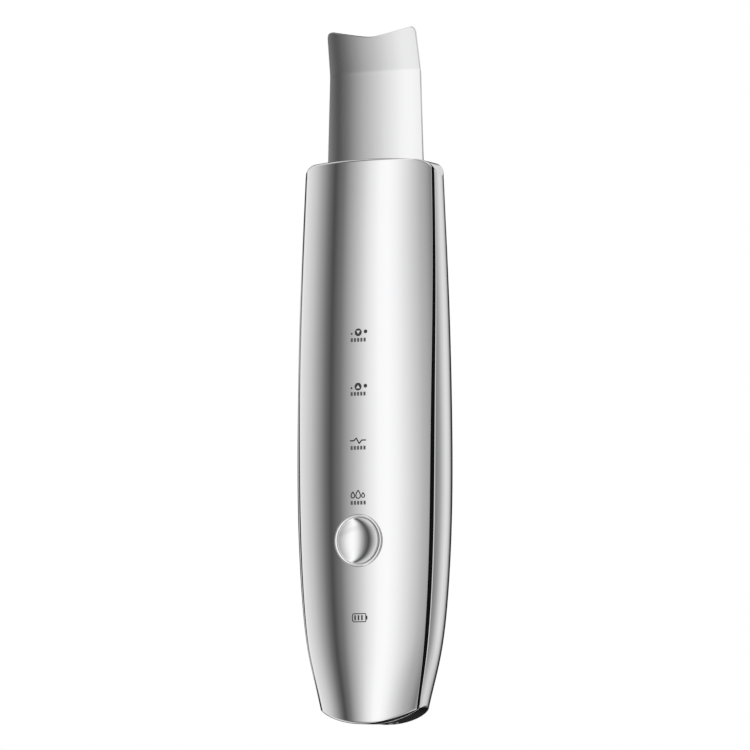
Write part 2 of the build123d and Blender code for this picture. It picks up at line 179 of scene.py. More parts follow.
half_width = Through(STATIONS[:, 0], STATIONS[:, 1])
front_reach = Through(STATIONS[:, 0], STATIONS[:, 2])
back_reach = Through(STATIONS[:, 0], STATIONS[:, 3])
parting = Through(PARTING[:, 0], PARTING[:, 1])


def quarter(t):
    """The unit quarter curve from (1, 0) to (0, 1) and its slope along t."""
    s = 1 - t
    x = s ** 3 + 3 * s * s * t + 3 * FULLNESS * s * t * t
    y = 3 * FULLNESS * s * s * t + 3 * s * t * t + t ** 3
    dx = -6 * s * t + 3 * FULLNESS * (2 * s * t - t * t)
    dy = 6 * s * t + 3 * FULLNESS * (s * s - 2 * s * t)
    return x, y, dx, dy


def inverse(value, axis):
    """The t at which the quarter curve's x or y has a value."""
    lo, hi = np.zeros_like(value), np.ones_like(value)
    for _ in range(44):
        mid = (lo + hi) / 2
        now = quarter(mid)[axis]
        up = now > value if axis == 0 else now < value
        lo, hi = np.where(up, mid, lo), np.where(up, hi, mid)
    return (lo + hi) / 2


def skin(q, z, sign, inset=0.0):
    """A point and normal of the handle's side. q is -1 at the front, 0 at the side and 1 at the back."""
    t, face = np.abs(q), np.where(q < 0, -1.0, 1.0)
    x, y, dx, dy = quarter(t)
    a, b = half_width(z) - inset, np.where(q < 0, front_reach(z), back_reach(z)) - inset
    lean = np.where(q < 0, front_reach.slope(z), back_reach.slope(z))
    point = np.stack([sign * a * x, face * b * y, z], -1)
    along = np.stack([a * dx, face * b * dy, 0 * z], -1)
    rise = np.stack([half_width.slope(z) * x, face * lean * y, 1 + 0 * z], -1)
    normal = unit(np.cross(along, rise)) * face[..., None]
    normal[..., 0] *= sign
    return point, normal


class End:
    """The outline of the handle's upper or lower end: an arch, a rounded corner, a straight side."""

    def __init__(self, crown, arch, corner, first, second, outward):
        self.outward, self.arch, self.corner = outward, arch, corner
        self.middle = crown - outward * arch
        self.first = np.array(first)
        along = unit(np.array(second) - self.first)
        self.side = np.array([abs(along[1]), 0.0]) + np.array([0.0, -along[0] * np.sign(along[1])])
        self.grade = along[1] / along[0] if along[0] else 0.0
        # the corner's centre is its radius inside the side and inside the arch
        reach, near = arch - corner, self.first - corner * self.side
        rest = np.array([0.0, self.middle]) - near
        ahead = float(rest @ along)
        gap = float(np.linalg.norm(rest - ahead * along))
        steps = [ahead + turn * math.sqrt(reach ** 2 - gap ** 2) for turn in (-1, 1)]
        spots = [near + step * along for step in steps]
        self.centre = max(spots, key=lambda spot: outward * spot[1])

    def __call__(self, x, inset=0.0):
        """Height and slope at a distance from the middle."""
        far, arch, corner = np.abs(x), self.arch - inset, self.corner - inset
        cx, cz = self.centre
        root = np.sqrt(arch ** 2 - np.minimum(far, arch * 0.9) ** 2)
        height, slope = self.middle + self.outward * root, -self.outward * far / root
        past = np.clip(far - cx, -corner, corner * 0.9995)
        drop = np.sqrt(corner ** 2 - past ** 2)
        on_corner = far > cx * arch / (self.arch - self.corner)
        height = np.where(on_corner, cz + self.outward * drop, height)
        slope = np.where(on_corner, -self.outward * past / drop, slope)
        if self.grade:
            foot_x, foot_z = self.first - inset * self.side
            on_side = far > cx + corner * self.side[0]
            height = np.where(on_side, foot_z + self.grade * (far - foot_x), height)
            slope = np.where(on_side, self.grade, slope)
        return height, np.sign(x) * slope


foot_end = End(*FOOT, outward=-1.0)
top_end = End(*TOP, outward=1.0)


def arc_between(corner, n1, n2, radius, steps):
    """Points and normals of a fillet that turns from n1 to n2 round a corner."""
    dot = np.sum(n1 * n2, -1, keepdims=True)
    centre = corner - radius * (n1 + n2) / (1 + dot)
    angle = np.arccos(np.clip(dot, -1, 1))
    out = []
    for s in np.linspace(0, 1, steps):
        n = np.where(angle > 1e-4,
                     (np.sin((1 - s) * angle) * n1 + np.sin(s * angle) * n2) / np.maximum(np.sin(angle), 1e-6),
                     n1)
        n = unit(n)
        out.append((centre + radius * n, n))
    return out


ARC_STEPS = 6
SKIN_COLS = 44


def seam_corner(z, side, sign, inset, seam_round):
    """Where the side meets the parting plane at heights z.

    Gives the place on the curve, the point, its normal, the plane's normal and the fillet's reach.
    side is -1 for the front cover and 1 for the rear shell; sign is the side of X."""
    depth = parting(z) + side * REVEAL / 2
    start = -inverse(np.clip(-depth / (front_reach(z) - inset), 0, 0.999), 1)
    corner, n1 = skin(start, z, sign, inset)
    n3 = np.zeros_like(n1)
    n3[..., 1] = -side
    dot = np.sum(n1 * n3, -1)
    reach = seam_round * np.sqrt((1 - dot) / (1 + dot))
    return start, corner, n1, n3, reach


def half_columns(z, side, sign, inset, seam_round):
    """Points and normals of all columns of one half, for an array z of shape (rows, columns)."""
    points, normals = np.zeros(z.shape + (3,)), np.zeros(z.shape + (3,))
    _, corner, n1, n3, _ = seam_corner(z[:, :ARC_STEPS], side, sign, inset, seam_round)
    if seam_round > 0:
        for k in range(ARC_STEPS):
            arc = arc_between(corner[:, k], n3[:, k], n1[:, k], seam_round, ARC_STEPS)[k]
            points[:, k], normals[:, k] = arc
            points[:, k, 2] = z[:, k]
    else:
        points[:, :ARC_STEPS], normals[:, :ARC_STEPS] = corner, n1
    zs = z[:, ARC_STEPS:]
    start, _, _, _, reach = seam_corner(zs, side, sign, inset, seam_round)
    # walk along the curve by arc length, from the seam's rounding to the middle
    samples = np.linspace(0, 1, 160)
    mid_z = zs[:, SKIN_COLS // 2]
    goal = float(side)
    for r in range(zs.shape[0]):
        q = start[r, 0] + (goal - start[r, 0]) * samples
        x, y, _, _ = quarter(np.abs(q))
        px = half_width(mid_z[r]) * x
        py = np.where(q < 0, -front_reach(mid_z[r]), back_reach(mid_z[r])) * y
        length = np.concatenate([[0], np.cumsum(np.hypot(np.diff(px), np.diff(py)))])
        first = reach[r, 0] + 0.02
        wanted = first + (length[-1] - first) * np.linspace(0, 1, SKIN_COLS)
        share = np.interp(wanted, length, samples)
        q_row = start[r] + (goal - start[r]) * share
        points[r, ARC_STEPS:], normals[r, ARC_STEPS:] = skin(q_row, zs[r], sign, inset)
    return points, normals


def settle(side, sign, end, inset, seam_round):
    """Heights, one per column, at which the side meets the upper or lower end."""
    z = np.full((1, ARC_STEPS + SKIN_COLS), end.middle + end.outward * (end.arch - 3.0))
    for _ in range(70):
        points, _ = half_columns(z, side, sign, inset, seam_round)
        z = 0.5 * z + 0.5 * end(points[..., 0], inset)[0]
    return z


SKIN_ROWS = 150
FACE_ROWS = 8
# openings in the rear shell's ends: (half width, depth of its middle, half height, radius of its ends)
OPENINGS = {1.0: (13.3, 0.75, 1.7, 0.0), -1.0: (5.35, 2.0, 2.5, 2.5)}


def opening_height(x, outward):
    """Half height of the opening at a distance from the middle; nothing past its rounded ends."""
    half, _, tall, radius = OPENINGS[outward]
    if radius == 0:
        return np.full_like(x, tall)
    past = np.clip(np.abs(x) - (half - radius), 0, radius)
    return np.sqrt(radius ** 2 - past ** 2)


def face_grid(first, edge_y, bead, side, end):
    """Places of an end face's rows, from the rounding to the parting plane, as (x, depth)."""
    high, low = first[:, 1], edge_y + side * bead
    if side < 0:
        return [(first[:, 0], high + (low - high) * share) for share in np.linspace(0, 1, FACE_ROWS)[1:]]
    half, middle, _, _ = OPENINGS[end.outward]
    snapped = first[:, 0].copy()
    snapped[np.argmin(abs(snapped - half))] = half
    tall = opening_height(snapped, end.outward)
    high = np.maximum(high, low)
    above, below = np.clip(middle + tall, low, high), np.clip(middle - tall, low, high)
    rows = [(first[:, 0], high + (above - high) * share) for share in (1 / 3, 2 / 3)]
    rows += [(snapped, above), (snapped, below)]
    rows += [(first[:, 0], below + (low - below) * share) for share in (1 / 3, 2 / 3, 1)]
    # where the handle is wider than at the groove, the rows draw in towards the groove
    limit = first[0, 0]
    drawn = []
    for x, y in rows:
        share = np.clip((first[:, 1] - y) / np.maximum(first[:, 1] - edge_y, 1e-6), 0, 1)
        drawn.append((np.where(first[:, 0] > limit, x + (limit - x) * share, x), y))
    return drawn


def bowl_half(side, sign, inset=0.0, seam_round=0.0, end_round=0.0):
    """Grid of one half of a cover or shell: lower end face, rounding, side, rounding, upper end face."""
    ends = {}
    for end in (foot_end, top_end):
        outward = end.outward
        z = settle(side, sign, end, inset, seam_round)
        corner, n1 = half_columns(z, side, sign, inset, seam_round)
        corner, n1 = corner[0], n1[0]
        slope = end(corner[:, 0], inset)[1]
        n2 = unit(np.stack([-slope * outward, 0 * slope, np.full_like(slope, outward)], -1))
        if end_round > 0:
            arcs = arc_between(corner, n1, n2, end_round, ARC_STEPS)
            reach = end_round * np.tan(0.5 * np.arccos(np.clip(np.sum(n1 * n2, -1), -1, 1)))
        else:
            arcs = [(corner, n1)] * (ARC_STEPS - 1) + [(corner, n2)]
            reach = np.zeros(len(corner))
        # end face, from the rounding towards the parting plane
        edge_y = parting(corner[:, 2]) + side * REVEAL / 2
        first = arcs[-1][0]
        room = np.maximum((first[:, 1] - edge_y) * side, 0)
        bead = np.minimum(seam_round, room * 0.8)
        lift = first[:, 2] - end(first[:, 0], inset)[0]
        rows = []
        for x, y in face_grid(first, edge_y, bead, side, end):
            height, slope = end(x, inset)
            n = unit(np.stack([-slope * outward, 0 * slope, np.full_like(slope, outward)], -1))
            rows.append((np.stack([x, np.where(room > 0, y, edge_y), height + lift], -1), n))
        last, n2 = rows[-1]
        for turn in np.linspace(0, math.pi / 2, ARC_STEPS)[1:]:
            point = last.copy()
            point[:, 1] = edge_y + side * bead * (1 - math.sin(turn))
            point[:, 2] -= outward * bead * (1 - math.cos(turn))
            lean = np.where(bead > 1e-4, turn, 0)[:, None]
            n = unit(n2 * np.cos(lean) + np.array([0.0, -side, 0.0]) * np.sin(lean))
            rows.append((point, n))
        ends[outward] = (z[0], reach, arcs, rows)
    lo_z, lo_reach, lo_arcs, lo_rows = ends[-1.0]
    hi_z, hi_reach, hi_arcs, hi_rows = ends[1.0]
    share = 0.5 - 0.5 * np.cos(np.linspace(0, math.pi, SKIN_ROWS))
    share = 0.35 * share + 0.65 * np.linspace(0, 1, SKIN_ROWS)
    low, high = lo_z + lo_reach, hi_z - hi_reach
    z = low[None, :] + (high - low)[None, :] * share[:, None]
    points, normals = half_columns(z, side, sign, inset, seam_round)
    grid_p = [p for p, _ in lo_rows[::-1]] + [p for p, _ in lo_arcs[::-1]][:-1]
    grid_n = [n for _, n in lo_rows[::-1]] + [n for _, n in lo_arcs[::-1]][:-1]
    grid_p += list(points) + [p for p, _ in hi_arcs][1:] + [p for p, _ in hi_rows]
    grid_n += list(normals) + [n for _, n in hi_arcs][1:] + [n for _, n in hi_rows]
    return np.array(grid_p), np.array(grid_n)


def bowl(side, inset=0.0, seam_round=0.0, end_round=0.0):
    """The whole grid, from the +X seam over the middle to the -X seam."""
    p, n = bowl_half(side, 1.0, inset, seam_round, end_round)
    mirror = np.array([-1.0, 1.0, 1.0])
    return (np.concatenate([p, (p * mirror)[:, -2::-1]], 1),
            np.concatenate([n, (n * mirror)[:, -2::-1]], 1))


def rim(rows, cols, start=0):
    """Vertex numbers round the edge of a grid."""
    loop = [c for c in range(cols)]
    loop += [r * cols + cols - 1 for r in range(1, rows)]
    loop += [(rows - 1) * cols + c for c in range(cols - 2, -1, -1)]
    loop += [r * cols for r in range(rows - 2, 0, -1)]
    return [start + i for i in loop]


def opening_cells(points):
    """For each opening: the grid cells inside it and the loop of vertices round it."""
    rows, cols = points.shape[:2]
    found = []
    for outward, row in ((-1.0, 8), (1.0, rows - 10)):
        half = OPENINGS[outward][0] + 1e-6
        span = [c for c in range(cols) if max(abs(points[row:row + 2, c, 0])) <= half]
        cells = {row * (cols - 1) + c for c in span[:-1]}
        loop = [row * cols + c for c in span] + [(row + 1) * cols + c for c in span[::-1]]
        found.append((outward, cells, loop))
    return found


def front_depth(x, z, inset=0.0):
    """Depth and normal of the handle's front at a place seen from the front."""
    t = inverse(np.clip(np.abs(x) / (half_width(z) - inset), 0, 1), 0)
    point, normal = skin(-t, z, np.where(x < 0, -1.0, 1.0), inset)
    return point[..., 1], normal


def keep_cells(faces, cells, cols):
    """For each face of a grid, whether it is outside the cells."""
    lowest = [min(face) for face in faces]
    return [(low // cols) * (cols - 1) + low % cols not in cells for low in lowest]


def housing(name, side):
    """A cover or shell with an outer skin, an inner skin and the lip between them."""
    outer_p, outer_n = bowl(side, 0.0, SEAM_ROUND[side], END_ROUND)
    inner_p, inner_n = bowl(side, WALL)
    rows, cols = outer_p.shape[:2]
    if side > 0:
        flat = outer_p[..., 1] > BACK_FLAT
        outer_p[..., 1] = np.minimum(outer_p[..., 1], BACK_FLAT)
        outer_n[flat] = (0.0, 1.0, 0.0)
    count = rows * cols
    verts = [outer_p.reshape(-1, 3), inner_p.reshape(-1, 3)]
    normals = [outer_n.reshape(-1, 3), -inner_n.reshape(-1, 3)]
    flip = side < 0
    outer_faces = grid_faces(rows, cols, 0, flip)
    inner_faces = grid_faces(rows, cols, count, not flip)
    if side < 0:
        hole = button_patch(outer_p, outer_n, 0, 0.0)
        outer_faces = [f for i, f in enumerate(outer_faces) if i not in hole["cells"]]
        hole_in = button_patch(inner_p, inner_n, count, WALL)
        inner_faces = [f for i, f in enumerate(inner_faces) if i not in hole_in["cells"]]
        base = 2 * count
        patch, patch_faces, ring = hole["build"](base, True)
        verts.append(patch[0])
        normals.append(patch[1])
        outer_faces += patch_faces
        base_in = base + len(patch[0])
        patch_in, patch_in_faces, ring_in = hole_in["build"](base_in, False)
        verts.append(patch_in[0])
        normals.append(-patch_in[1])
        inner_faces += patch_in_faces
    walls = []
    if side > 0:
        base = 2 * count
        for outward, cells, loop in opening_cells(outer_p):
            outer_faces = [f for f, keep in zip(outer_faces, keep_cells(outer_faces, cells, cols)) if keep]
            deep = verts[0][loop] - np.array([0.0, 0.0, outward * (WALL + 0.3)])
            verts.append(deep)
            normals.append(np.zeros_like(deep))
            for i in range(len(loop)):
                j = (i + 1) % len(loop)
                walls.append((loop[i], loop[j], base + j, base + i))
            base += len(loop)
        for _, cells, _ in opening_cells(inner_p):
            shifted = [tuple(v - count for v in f) for f in inner_faces]
            inner_faces = [f for f, keep in zip(inner_faces, keep_cells(shifted, cells, cols)) if keep]
    loop_out, loop_in = rim(rows, cols, 0), rim(rows, cols, count)
    lip = []
    for i in range(len(loop_out)):
        j = (i + 1) % len(loop_out)
        quad = (loop_out[i], loop_in[i], loop_in[j], loop_out[j])
        lip.append(quad[::-1] if flip else quad)
    if side < 0 and len(ring) == len(ring_in):
        for i in range(len(ring)):
            j = (i + 1) % len(ring)
            walls.append((ring[i], ring_in[i], ring_in[j], ring[j]))
    faces = outer_faces + inner_faces + lip + walls
    curved = len(outer_faces) + len(inner_faces)
    smooth = [True] * curved + [False] * (len(lip) + len(walls))
    black = [False] * curved + [True] * len(lip) + [False] * len(walls)
    piece = mesh_piece(name, np.concatenate(verts), faces, np.concatenate(normals), smooth, black)
    return piece


PATCH_HALF = 9.5
PATCH_RINGS = 9


def button_patch(points, normals, start, inset):
    """Finds the grid cells round the button and says how to fill them up to a round hole."""
    rows, cols = points.shape[:2]
    mid_row, mid_col = np.argmin(abs(points[:, cols // 2, 2] - BUTTON_Z)), cols // 2
    line_z, line_x = points[:, mid_col, 2], points[mid_row, :, 0]
    in_rows = np.where(abs(line_z - BUTTON_Z) < PATCH_HALF)[0]
    in_rows = in_rows[(in_rows > 30) & (in_rows < rows - 30)]
    in_cols = np.where(abs(line_x) < PATCH_HALF)[0]
    r0, r1, c0, c1 = in_rows[0], in_rows[-1], in_cols[0], in_cols[-1]
    cells = {r * (cols - 1) + c for r in range(r0, r1) for c in range(c0, c1)}
    edge = [(r0, c) for c in range(c0, c1)] + [(r, c1) for r in range(r0, r1)]
    edge += [(r1, c) for c in range(c1, c0, -1)] + [(r, c0) for r in range(r1, r0, -1)]

    def build(base, flip):
        outline = np.array([points[r, c] for r, c in edge])
        angle = np.arctan2(outline[:, 2] - BUTTON_Z, outline[:, 0])
        circle = np.stack([HOLE * np.cos(angle), BUTTON_Z + HOLE * np.sin(angle)], -1)
        out_p, out_n, faces = [], [], []
        count = len(edge)
        for k in range(PATCH_RINGS):
            share = (k / PATCH_RINGS) ** 1.1
            xz = circle + (outline[:, [0, 2]] - circle) * share
            y, n = front_depth(xz[:, 0], xz[:, 1], inset)
            out_p.append(np.stack([xz[:, 0], y, xz[:, 1]], -1))
            out_n.append(n)
        ids = [[base + k * count + i for i in range(count)] for k in range(PATCH_RINGS)]
        ids.append([start + r * cols + c for r, c in edge])
        for k in range(PATCH_RINGS):
            for i in range(count):
                j = (i + 1) % count
                quad = (ids[k][i], ids[k][j], ids[k + 1][j], ids[k + 1][i])
                faces.append(quad if flip else quad[::-1])
        return (np.concatenate(out_p), np.concatenate(out_n)), faces, ids[0]

    return {"cells": cells, "build": build}


# ---------------------------------------------------------------- materials

def node_material(name):
    """An empty Principled material: (material, nodes, links, shader)."""
    material = bpy.data.materials.new(name)
    material.use_nodes = True
    nodes, links = material.node_tree.nodes, material.node_tree.links
    return material, nodes, links, nodes["Principled BSDF"]


def varied(name, colour, metallic, roughness, spread=0.02, tint=0.04, scale=400.0, bump=0.0, grain=(1, 1, 1),
           gloss=0.5):
    """A material whose colour, roughness and relief vary a little over the surface."""
    material, nodes, links, shader = node_material(name)
    shader.inputs["Metallic"].default_value = metallic
    shader.inputs["Specular IOR Level"].default_value = gloss
    coord = nodes.new("ShaderNodeTexCoord")
    stretch = nodes.new("ShaderNodeMapping")
    stretch.inputs["Scale"].default_value = grain
    links.new(coord.outputs["Object"], stretch.inputs["Vector"])
    noise = nodes.new("ShaderNodeTexNoise")
    noise.inputs["Scale"].default_value = scale
    noise.inputs["Detail"].default_value = 4.0
    links.new(stretch.outputs["Vector"], noise.inputs["Vector"])
    rough = nodes.new("ShaderNodeMapRange")
    rough.inputs["To Min"].default_value = max(0.0, roughness - spread)
    rough.inputs["To Max"].default_value = roughness + spread
    links.new(noise.outputs["Fac"], rough.inputs["Value"])
    links.new(rough.outputs["Result"], shader.inputs["Roughness"])
    ramp = nodes.new("ShaderNodeValToRGB")
    dark = [c * (1 - tint) for c in colour]
    ramp.color_ramp.elements[0].color = (*dark, 1)
    ramp.color_ramp.elements[0].position = 0.3
    ramp.color_ramp.elements[1].color = (*colour, 1)
    ramp.color_ramp.elements[1].position = 0.7
    links.new(noise.outputs["Fac"], ramp.inputs["Fac"])
    links.new(ramp.outputs["Color"], shader.inputs["Base Color"])
    if bump > 0:
        relief = nodes.new("ShaderNodeBump")
        relief.inputs["Strength"].default_value = bump
        relief.inputs["Distance"].default_value = 0.0001
        links.new(noise.outputs["Fac"], relief.inputs["Height"])
        links.new(relief.outputs["Normal"], shader.inputs["Normal"])
    return material


MATERIALS = {
    "chrome_shell": varied("chrome_shell", (0.95, 0.95, 0.96), 1.0, 0.045, 0.012, 0.01, 60.0),
    "chrome_trim": varied("chrome_trim", (0.95, 0.95, 0.96), 1.0, 0.05, 0.012, 0.01, 90.0),
    "chrome_button": varied("chrome_button", (0.96, 0.96, 0.97), 1.0, 0.04, 0.01, 0.01, 90.0),
    "blade_steel": varied("blade_steel", (0.93, 0.93, 0.935), 1.0, 0.11, 0.02, 0.02, 260.0, 0.03,
                          (1, 1, 0.05)),
    "horn_metal": varied("horn_metal", (0.72, 0.73, 0.75), 1.0, 0.34, 0.05, 0.06, 500.0, 0.2),
    "screw_steel": varied("screw_steel", (0.56, 0.56, 0.58), 1.0, 0.32, 0.06, 0.08, 700.0, 0.2),
    "brass": varied("brass", (0.78, 0.60, 0.30), 1.0, 0.28, 0.05, 0.08, 500.0, 0.1),
    "ceramic": varied("ceramic", (0.86, 0.84, 0.76), 0.0, 0.35, 0.05, 0.06, 900.0, 0.1),
    "black_rubber": varied("black_rubber", (0.006, 0.006, 0.006), 0.0, 0.62, 0.06, 0.15, 900.0, 0.1,
                           gloss=0.05),
    "black_plastic": varied("black_plastic", (0.035, 0.035, 0.038), 0.0, 0.42, 0.05, 0.12, 900.0, 0.2),
    "white_plastic": varied("white_plastic", (0.82, 0.82, 0.82), 0.0, 0.40, 0.05, 0.04, 900.0, 0.15),
    "switch_plastic": varied("switch_plastic", (0.10, 0.10, 0.11), 0.0, 0.45, 0.05, 0.1, 900.0, 0.15),
    "circuit_board": varied("circuit_board", (0.03, 0.19, 0.09), 0.0, 0.30, 0.05, 0.18, 500.0, 0.15),
    "chip_plastic": varied("chip_plastic", (0.05, 0.05, 0.055), 0.0, 0.5, 0.05, 0.1, 1200.0, 0.2),
    "led_lens": varied("led_lens", (0.92, 0.92, 0.84), 0.0, 0.2, 0.04, 0.05, 900.0),
    "clear_plastic": varied("clear_plastic", (0.90, 0.92, 0.94), 0.0, 0.12, 0.03, 0.03, 500.0),
    "ferrite": varied("ferrite", (0.13, 0.125, 0.12), 0.0, 0.6, 0.06, 0.15, 900.0, 0.3),
    "battery_wrap": varied("battery_wrap", (0.14, 0.27, 0.55), 0.0, 0.28, 0.05, 0.1, 300.0, 0.1),
    "foam": varied("foam", (0.12, 0.12, 0.13), 0.0, 0.85, 0.05, 0.25, 1500.0, 0.6),
    "lead_insulation": varied("lead_insulation", (0.60, 0.05, 0.05), 0.0, 0.35, 0.05, 0.1, 600.0),
    "ribbon_film": varied("ribbon_film", (0.70, 0.38, 0.08), 0.0, 0.25, 0.05, 0.1, 600.0),
}


def dress(piece, slot):
    piece.data.materials.clear()
    piece.data.materials.append(MATERIALS[slot])


def place(piece, slot, body, *nodes):
    """Gives a new piece its finish and body, and hides the CAD nodes that it stands for."""
    dress(piece, slot)
    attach(piece, body)
    if nodes:
        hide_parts(*nodes)


for entry in frame["record"]["subparts"]:
    node = frame["nodes"].get(entry["node"])
    if node is not None:
        for i in range(len(node.material_slots)):
            node.material_slots[i].material = MATERIALS[entry["material_slot"]]

# ---------------------------------------------------------------- housing

def seam_x(z, offset, inset):
    """Half width of the handle at the parting surface moved back by an offset."""
    t = inverse(np.clip(-(parting(z) + offset) / (front_reach(z) - inset), 0, 0.999), 1)
    return (half_width(z) - inset) * quarter(t)[0]


def gasket_loop(offset, inset):
    """Points all the way round the groove, at one offset across it and one depth under the skin."""
    heights = []
    for end in (foot_end, top_end):
        z = np.array([end.middle + end.outward * (end.arch - 3.0)])
        for _ in range(80):
            z = 0.5 * z + 0.5 * end(seam_x(z, offset, inset), inset)[0]
        heights.append(z[0])
    rise = np.linspace(*heights, 160)
    wide = seam_x(rise, offset, inset)
    share = np.linspace(1, -1, 80)[1:-1]
    top_x, foot_x = share * wide[-1], -share * wide[0]
    x = np.concatenate([wide, top_x, -wide[::-1], foot_x])
    z = np.concatenate([rise, top_end(top_x, inset)[0], rise[::-1], foot_end(foot_x, inset)[0]])
    return np.stack([x, parting(z) + offset, z], -1)


def gasket():
    """The black band that fills the groove between cover and shell."""
    half = REVEAL / 2 + 0.06
    # (place across the groove, depth below the skin)
    profile = [(-half, 0.16), (-half / 2, 0.13), (0.0, 0.12), (half / 2, 0.13), (half, 0.16),
               (half, 0.9), (-half, 0.9)]
    loops = [gasket_loop(offset, inset) for offset, inset in profile]
    count = len(loops[0])
    faces = []
    for row in range(len(loops)):
        below = (row + 1) % len(loops)
        for i in range(count):
            j = (i + 1) % count
            faces.append((row * count + i, row * count + j, below * count + j, below * count + i))
    return mesh_piece("seam_gasket_band", np.concatenate(loops), faces, None, [False] * len(faces))


place(gasket(), "black_rubber", "handle", "seam_gasket")
for name, side, node in (("front_cover_skin", -1, "front_cover"), ("rear_shell_skin", 1, "rear_shell")):
    half = housing(name, side)
    place(half, "chrome_shell", "handle", node)
    half.data.materials.append(MATERIALS["black_rubber"])   # the two lips of the groove


# ---------------------------------------------------------------- button

def lathe(name, profile_points, z, turns=192):
    """A turned piece about the button's axis from (radius, depth, normal radius, normal depth)."""
    verts, normals = [], []
    for radius, depth, nr, nd in profile_points:
        for k in range(turns):
            c, s = math.cos(2 * math.pi * k / turns), math.sin(2 * math.pi * k / turns)
            verts.append((radius * c, depth, z + radius * s))
            normals.append((nr * c, nd, nr * s))
    faces = []
    for i in range(len(profile_points) - 1):
        for k in range(turns):
            j = (k + 1) % turns
            faces.append((i * turns + k, (i + 1) * turns + k, (i + 1) * turns + j, i * turns + j))
    return mesh_piece(name, verts, faces, normals)


def polyline_profile(corners):
    """Profile of straight runs with sharp corners: each run has its own points and normal."""
    rows = []
    for (r0, d0), (r1, d1) in zip(corners, corners[1:]):
        dr, dd = r1 - r0, d1 - d0
        size = math.hypot(dr, dd)
        nr, nd = dd / size, -dr / size
        rows += [(r0, d0, nr, nd), (r1, d1, nr, nd)]
    return rows


CAP_RADIUS = 5.51
RIM_TURN = 0.3               # how far the cap's rim turns outwards before its edge, in radians
DISH_RIM = 5.3               # where the dished face meets the rim
DISH_CURVE = 22.0            # the dish's radius of curvature at its middle
DISH_STEEP = 1.24e-4         # how much steeper it gets near the rim
RIM_Y = BUTTON_FACE - 0.1


def dish(r):
    """Rise of the dished face above its middle, and its slope: shallow, then steep near the rim."""
    return r * r / (2 * DISH_CURVE) + DISH_STEEP * r ** 6 / 6, r / DISH_CURVE + DISH_STEEP * r ** 5


def cap_profile():
    """The dished face and its small rounded rim."""
    rise, slope = dish(DISH_RIM)
    steep = math.atan(slope)
    bead = (CAP_RADIUS - DISH_RIM) / (math.sin(RIM_TURN) + math.sin(steep))
    lowest = RIM_Y + bead * (1 - math.cos(steep)) + rise
    rows = []
    for k in range(33):
        r = max(DISH_RIM * k / 32, 1e-4)
        rise, slope = dish(r)
        tilt = math.atan(slope)
        rows.append((r, lowest - rise, -math.sin(tilt), -math.cos(tilt)))
    for k in range(7):
        turn = -steep + (RIM_TURN + steep) * k / 6
        rows.append((CAP_RADIUS + bead * (math.sin(turn) - math.sin(RIM_TURN)),
                     RIM_Y + bead - bead * math.cos(turn), math.sin(turn), -math.cos(turn)))
    return rows


# side, flange and inner stem of the cap, then of the ring: (radius, depth behind the cover's front)
CAP_BACK = [(CAP_RADIUS, -0.09), (CAP_RADIUS, 2.35), (6.4, 2.35), (6.4, 2.9), (4.8, 2.9), (4.8, 1.6),
            (1.3, 1.6), (1.3, 3.0), (0.0001, 3.0)]
RING_INNER, RING_OUTER = 5.55, 6.2
RING_PROUD = 0.45            # how far the ring's crown stands in front of the cover
RING_BACK = [(RING_OUTER, -0.22), (RING_OUTER, 1.85), (7.2, 1.85), (7.2, 2.3), (RING_INNER, 2.3),
             (RING_INNER, -0.42)]
cap_back = polyline_profile([(r, BUTTON_FACE + d) for r, d in CAP_BACK])
cap = lathe("button_face", cap_profile() + cap_back, BUTTON_Z)
place(cap, "chrome_button", "button", "button_cap")


def ring_profile():
    """The trim ring's front: a nearly flat crown with eased edges, a little proud of the cover."""
    rows = []
    inner, outer, crest = RING_INNER, RING_OUTER, BUTTON_FACE - RING_PROUD
    half = (outer - inner) / 2
    for k in range(25):
        s = math.sin(math.pi * (k / 24 - 0.5))
        edge = max(s, 0.0)
        drop, slope = 0.028 * s * s + 0.2 * edge ** 10, (0.056 * s + 2.0 * edge ** 9) / half
        size = math.hypot(slope, 1)
        rows.append(((inner + outer) / 2 + half * s, crest + drop, slope / size, -1 / size))
    return rows


ring_back = polyline_profile([(r, BUTTON_FACE + d) for r, d in RING_BACK])
ring = lathe("button_trim_ring", ring_profile() + ring_back, BUTTON_Z)
place(ring, "chrome_trim", "handle", "button_ring")


# ---------------------------------------------------------------- blade

